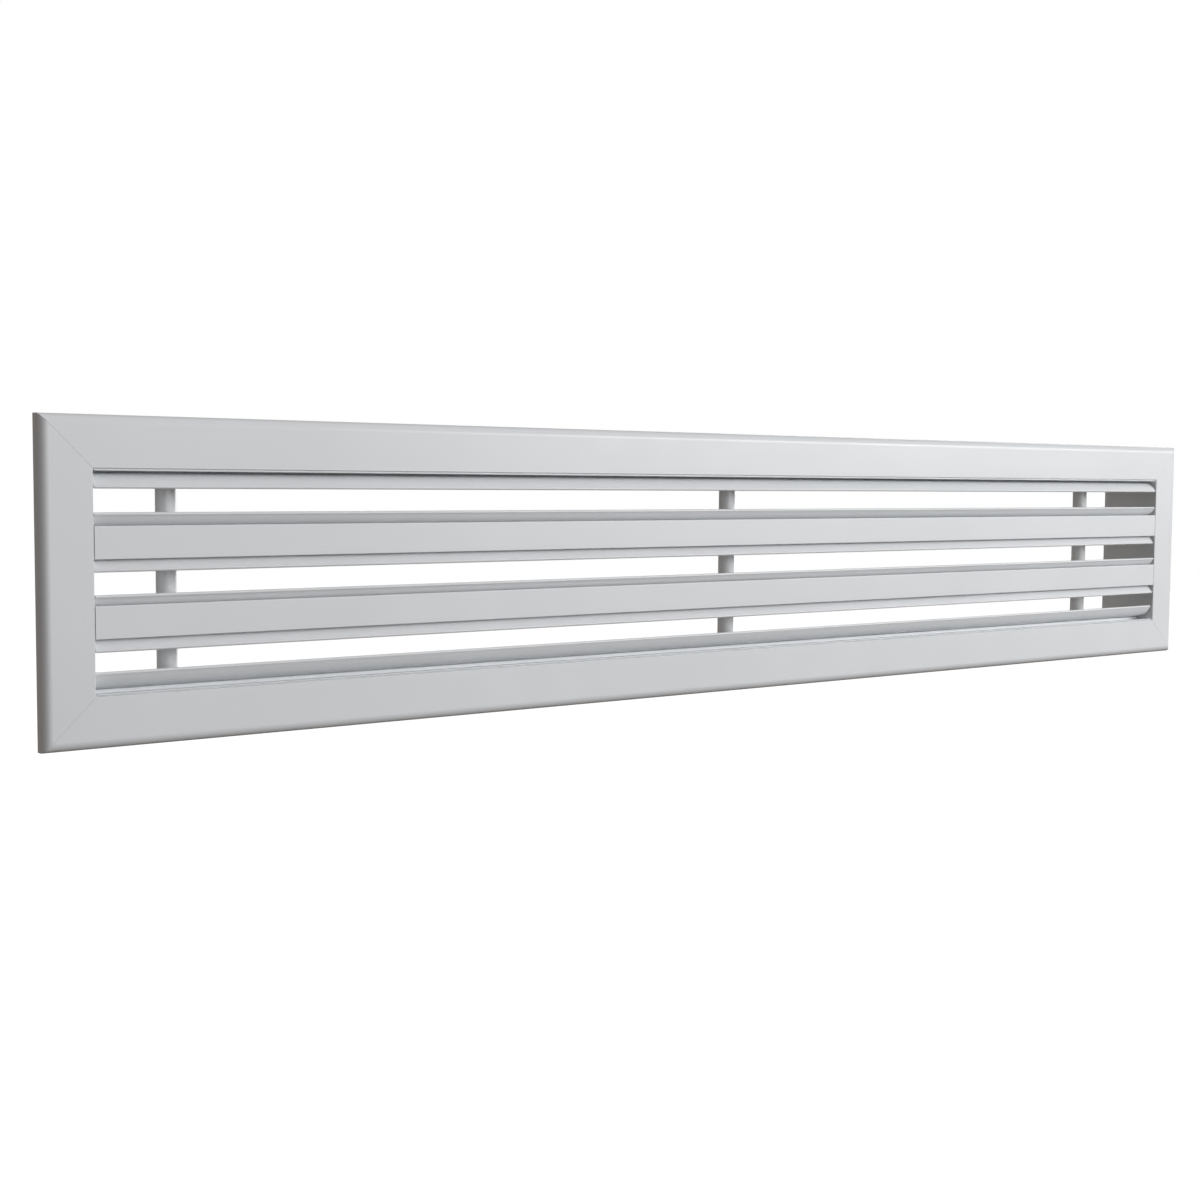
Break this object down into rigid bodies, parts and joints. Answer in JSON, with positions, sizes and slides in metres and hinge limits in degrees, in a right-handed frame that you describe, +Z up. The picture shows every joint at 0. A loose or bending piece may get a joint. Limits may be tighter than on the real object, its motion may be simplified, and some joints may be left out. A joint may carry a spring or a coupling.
{
  "type": "linear slot air grille",
  "caption": "Wide slotted air grille: mitred flanged frame, flat bars between the slots, and curved deflector blades that turn to steer or close the air stream.",
  "frame": {"origin": "middle of the grille, in the wall plane: where the rear edge of the flange lip meets the wall", "axes": "+X along the grille, to the right seen from the room; +Y into the wall and the duct; +Z up"},
  "size_m": [0.84, 0.044, 0.15],
  "materials": {
    "white_paint": "semi-gloss white powder coat on aluminium",
    "zinc_steel": "bright zinc plated",
    "spring_steel": "plain spring steel",
    "cast_key": "mill finish"
  },
  "bodies": {
    "root": {"bar_screw_lower_left": "zinc_steel", "bar_screw_lower_right": "zinc_steel", "bar_screw_upper_left": "zinc_steel", "bar_screw_upper_right": "zinc_steel", "clip_rivet_bottom_left": "zinc_steel", "clip_rivet_bottom_right": "zinc_steel", "clip_rivet_top_left": "zinc_steel", "clip_rivet_top_right": "zinc_steel", "corner_key_bottom_left": "cast_key", "corner_key_bottom_right": "cast_key", "corner_key_top_left": "cast_key", "corner_key_top_right": "cast_key", "frame_bottom": "white_paint", "frame_left": "white_paint", "frame_right": "white_paint", "frame_top": "white_paint", "rod_nut_left_bottom": "zinc_steel", "rod_nut_left_top": "zinc_steel", "rod_nut_middle_bottom": "zinc_steel", "rod_nut_middle_top": "zinc_steel", "rod_nut_right_bottom": "zinc_steel", "rod_nut_right_top": "zinc_steel", "rod_washer_left_bottom": "zinc_steel", "rod_washer_left_top": "zinc_steel", "rod_washer_middle_bottom": "zinc_steel", "rod_washer_middle_top": "zinc_steel", "rod_washer_right_bottom": "zinc_steel", "rod_washer_right_top": "zinc_steel", "slot_bar_lower": "white_paint", "slot_bar_upper": "white_paint", "spacer_tube_left_lower": "white_paint", "spacer_tube_left_middle": "white_paint", "spacer_tube_left_upper": "white_paint", "spacer_tube_middle_lower": "white_paint", "spacer_tube_middle_middle": "white_paint", "spacer_tube_middle_upper": "white_paint", "spacer_tube_right_lower": "white_paint", "spacer_tube_right_middle": "white_paint", "spacer_tube_right_upper": "white_paint", "spring_clip_bottom_left": "spring_steel", "spring_clip_bottom_right": "spring_steel", "spring_clip_top_left": "spring_steel", "spring_clip_top_right": "spring_steel", "tie_rod_left": "zinc_steel", "tie_rod_middle": "zinc_steel", "tie_rod_right": "zinc_steel"},
    "blade_lower_slot_bottom": {"blade_lower_slot_bottom": "white_paint"},
    "blade_lower_slot_top": {"blade_lower_slot_top": "white_paint"},
    "blade_middle_slot_bottom": {"blade_middle_slot_bottom": "white_paint"},
    "blade_middle_slot_top": {"blade_middle_slot_top": "white_paint"},
    "blade_upper_slot_bottom": {"blade_upper_slot_bottom": "white_paint"},
    "blade_upper_slot_top": {"blade_upper_slot_top": "white_paint"}
  },
  "joints": [
    {"name": "lower_slot_bottom_pivot", "type": "hinge", "parent": "root", "child": "blade_lower_slot_bottom", "pos_m": [0, 0.007, -0.0509], "axis": [-1, 0, 0], "range_deg": [-10.7, 17.3]},
    {"name": "lower_slot_top_pivot", "type": "hinge", "parent": "root", "child": "blade_lower_slot_top", "pos_m": [0, 0.007, -0.0221], "axis": [1, 0, 0], "range_deg": [-5.4, 22.6]},
    {"name": "middle_slot_bottom_pivot", "type": "hinge", "parent": "root", "child": "blade_middle_slot_bottom", "pos_m": [0, 0.007, -0.0144], "axis": [-1, 0, 0], "range_deg": [-3.1, 24.9]},
    {"name": "middle_slot_top_pivot", "type": "hinge", "parent": "root", "child": "blade_middle_slot_top", "pos_m": [0, 0.007, 0.0144], "axis": [1, 0, 0], "range_deg": [-7.4, 20.6]},
    {"name": "upper_slot_bottom_pivot", "type": "hinge", "parent": "root", "child": "blade_upper_slot_bottom", "pos_m": [0, 0.007, 0.0221], "axis": [-1, 0, 0], "range_deg": [-5.1, 22.9]},
    {"name": "upper_slot_top_pivot", "type": "hinge", "parent": "root", "child": "blade_upper_slot_top", "pos_m": [0, 0.007, 0.0509], "axis": [1, 0, 0], "range_deg": [-3.1, 24.9]}
  ]
}
